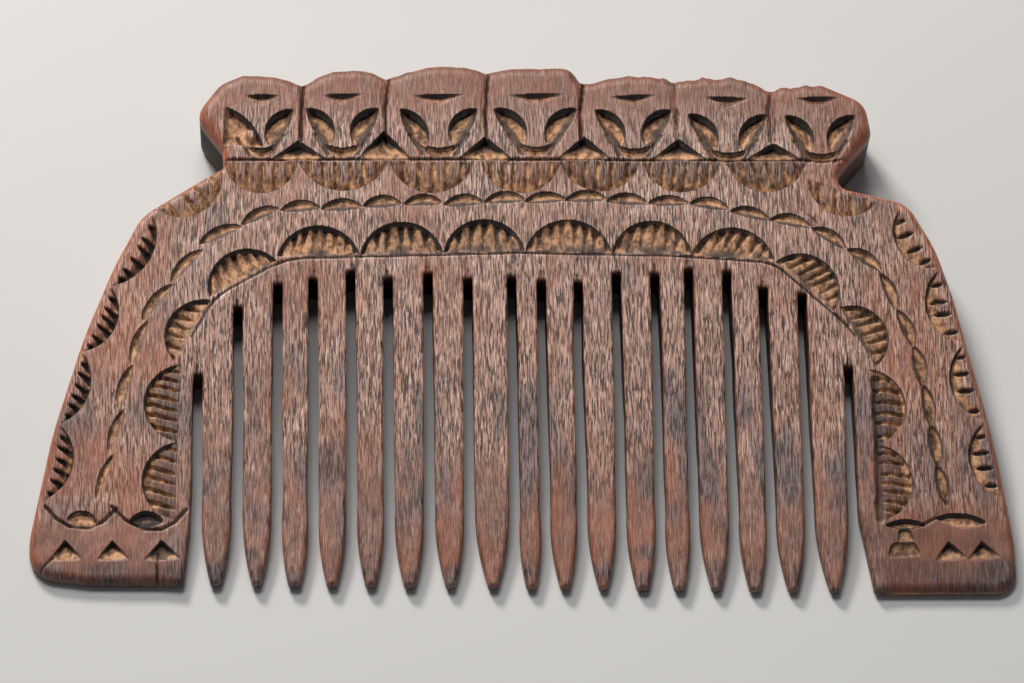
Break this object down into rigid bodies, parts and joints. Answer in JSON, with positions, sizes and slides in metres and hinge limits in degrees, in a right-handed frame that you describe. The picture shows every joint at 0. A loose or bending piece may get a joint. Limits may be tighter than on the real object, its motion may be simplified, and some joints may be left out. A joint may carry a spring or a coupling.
{
  "type": "hair comb",
  "caption": "One-piece carved wooden hair comb: a wedge-shaped board with long teeth between two broad end guards, an arched band of chip carving and a crest of stylised faces.",
  "frame": {"origin": "middle of the comb's footprint, on its flat back", "axes": "+X along the crest, +Y from the tooth tips to the crest, +Z out of the carved front"},
  "size_m": [0.1412, 0.0812, 0.0115],
  "materials": {
    "carved_wood": "worn, low sheen, red-brown with paler cuts",
    "tooth_wood": "worn, low sheen, with dark stained lower ends"
  },
  "bodies": {
    "root": {"crest": "carved_wood", "spine": "carved_wood", "left_guard": "carved_wood", "right_guard": "carved_wood", "tooth_01": "tooth_wood", "tooth_02": "tooth_wood", "tooth_03": "tooth_wood", "tooth_04": "tooth_wood", "tooth_05": "tooth_wood", "tooth_06": "tooth_wood", "tooth_07": "tooth_wood", "tooth_08": "tooth_wood", "tooth_09": "tooth_wood", "tooth_10": "tooth_wood", "tooth_11": "tooth_wood", "tooth_12": "tooth_wood", "tooth_13": "tooth_wood", "tooth_14": "tooth_wood", "tooth_15": "tooth_wood", "tooth_16": "tooth_wood", "tooth_17": "tooth_wood"}
  },
  "joints": []
}
